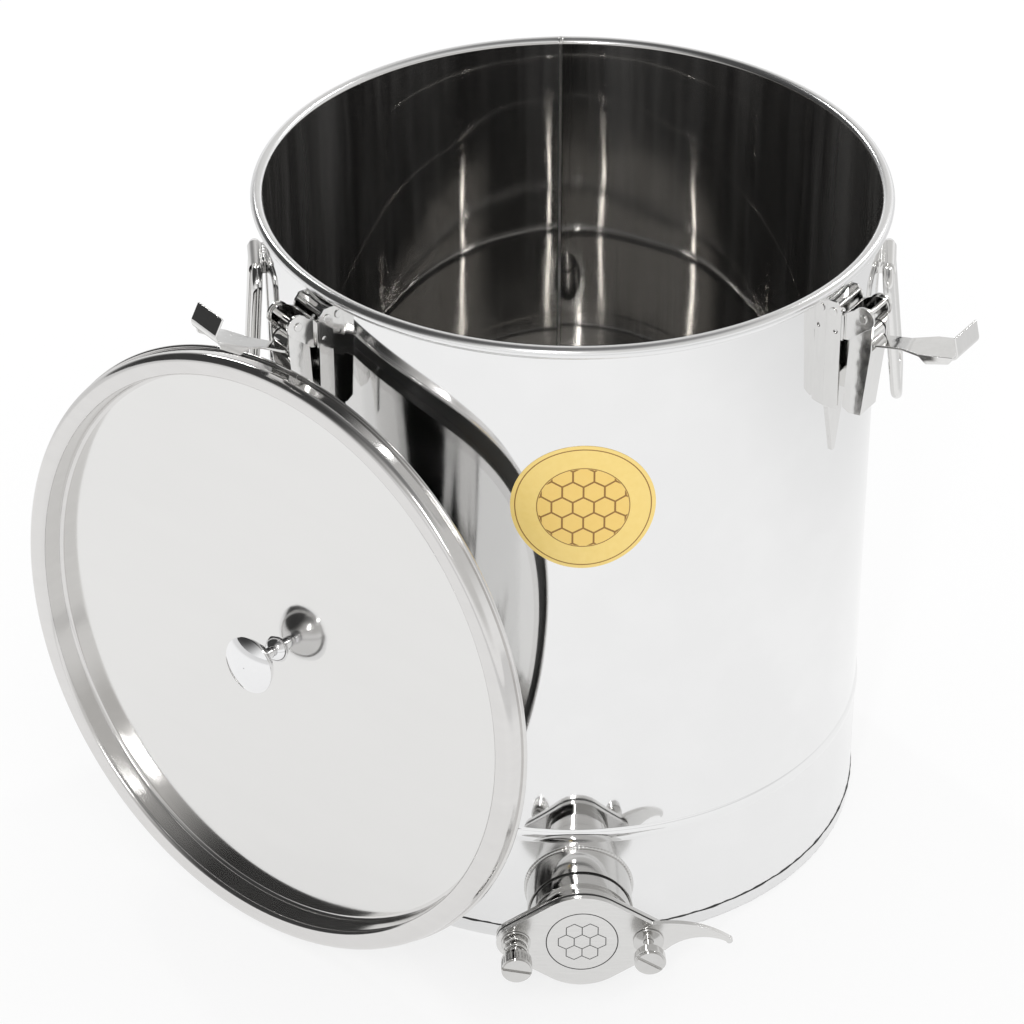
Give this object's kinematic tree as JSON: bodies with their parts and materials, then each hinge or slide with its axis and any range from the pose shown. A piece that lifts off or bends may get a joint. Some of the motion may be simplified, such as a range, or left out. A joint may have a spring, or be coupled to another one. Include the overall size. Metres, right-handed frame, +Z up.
{
  "type": "honey settling tank",
  "caption": "Round steel honey tank with rolled rim, draw latches, bail handles, a swing gate at its foot, and a pressed lid with a knob leaning against it.",
  "frame": {"origin": "on the floor at the tank axis", "axes": "+Z up along the tank axis, the gate looks along -Y, +X to the right of the gate"},
  "size_m": [0.5786, 0.4799, 0.4516],
  "materials": {
    "polished_steel": "polished sheet",
    "gate_steel": "satin, machined",
    "latch_steel": "bright pressed sheet",
    "handle_steel": "bright rod",
    "spring_wire": "drawn wire",
    "knob_chrome": "polished",
    "rubber": "matte",
    "label": "printed film"
  },
  "bodies": {
    "tank": {"shell": "polished_steel", "bottom_pan": "polished_steel", "label": "label", "outlet_collar": "polished_steel", "gate_seal": "rubber", "gate_body": "gate_steel", "gate_gasket": "rubber", "pivot_screw": "gate_steel", "pivot_washer": "gate_steel", "pivot_spring": "spring_wire", "latch_base_l": "latch_steel", "base_pin_l": "latch_steel", "latch_yoke_l": "latch_steel", "fulcrum_pin_l": "latch_steel", "handle_sleeve_l": "handle_steel", "latch_base_r": "latch_steel", "base_pin_r": "latch_steel", "latch_yoke_r": "latch_steel", "fulcrum_pin_r": "latch_steel", "handle_sleeve_r": "handle_steel"},
    "flap": {"gate_flap": "gate_steel"},
    "clamp": {"clamp_screw": "gate_steel", "clamp_washer": "gate_steel"},
    "lid": {"lid_floor": "polished_steel", "lid_rim": "polished_steel", "lid_gasket": "rubber", "lid_knob": "knob_chrome", "knob_screw": "gate_steel", "knob_washer": "gate_steel"},
    "lever_left": {"lever_l": "latch_steel", "hook_pin_l": "latch_steel"},
    "hook_left": {"hook_l": "latch_steel"},
    "bail_left": {"handle_bail_l": "handle_steel"},
    "lever_right": {"lever_r": "latch_steel", "hook_pin_r": "latch_steel"},
    "hook_right": {"hook_r": "latch_steel"},
    "bail_right": {"handle_bail_r": "handle_steel"}
  },
  "joints": [
    {"name": "flap_swing", "type": "hinge", "parent": "tank", "child": "flap", "pos_m": [-0.041, -0.24, 0.045], "axis": [0, -1, 0], "range_deg": [0, 90]},
    {"name": "clamp_turn", "type": "hinge", "parent": "tank", "child": "clamp", "pos_m": [0.041, -0.25, 0.045], "axis": [0, -1, 0], "continuous": true},
    {"name": "lid_carry", "type": "slide", "parent": "tank", "child": "lid", "axis": [-0.6474, -0.758, 0.0802], "range_m": [0, 0.4]},
    {"name": "lever_left_lift", "type": "hinge", "parent": "tank", "child": "lever_left", "pos_m": [-0.17232, -0.1252, 0.426], "axis": [0.5878, -0.809, 0], "range_deg": [-120, 0]},
    {"name": "hook_left_swing", "type": "hinge", "parent": "lever_left", "child": "hook_left", "pos_m": [-0.17248, -0.12532, 0.4112], "axis": [0.5878, -0.809, 0], "range_deg": [-66, 16]},
    {"name": "lever_right_lift", "type": "hinge", "parent": "tank", "child": "lever_right", "pos_m": [0.17232, -0.1252, 0.426], "axis": [0.5878, 0.809, 0], "range_deg": [-120, 0]},
    {"name": "hook_right_swing", "type": "hinge", "parent": "lever_right", "child": "hook_right", "pos_m": [0.17248, -0.12532, 0.4112], "axis": [-0.5878, -0.809, 0], "range_deg": [0, 82]},
    {"name": "bail_left_swing", "type": "hinge", "parent": "tank", "child": "bail_left", "pos_m": [-0.19462, -0.01361, 0.403], "axis": [-0.0698, 0.9976, 0], "range_deg": [0, 100]},
    {"name": "bail_right_swing", "type": "hinge", "parent": "tank", "child": "bail_right", "pos_m": [0.19365, -0.02378, 0.403], "axis": [-0.1219, -0.9925, 0], "range_deg": [0, 100]}
  ],
  "couplings": [
    {"joint": "lever_left_lift", "follows": "lid_carry", "rad_per_m": -5.2}
  ]
}
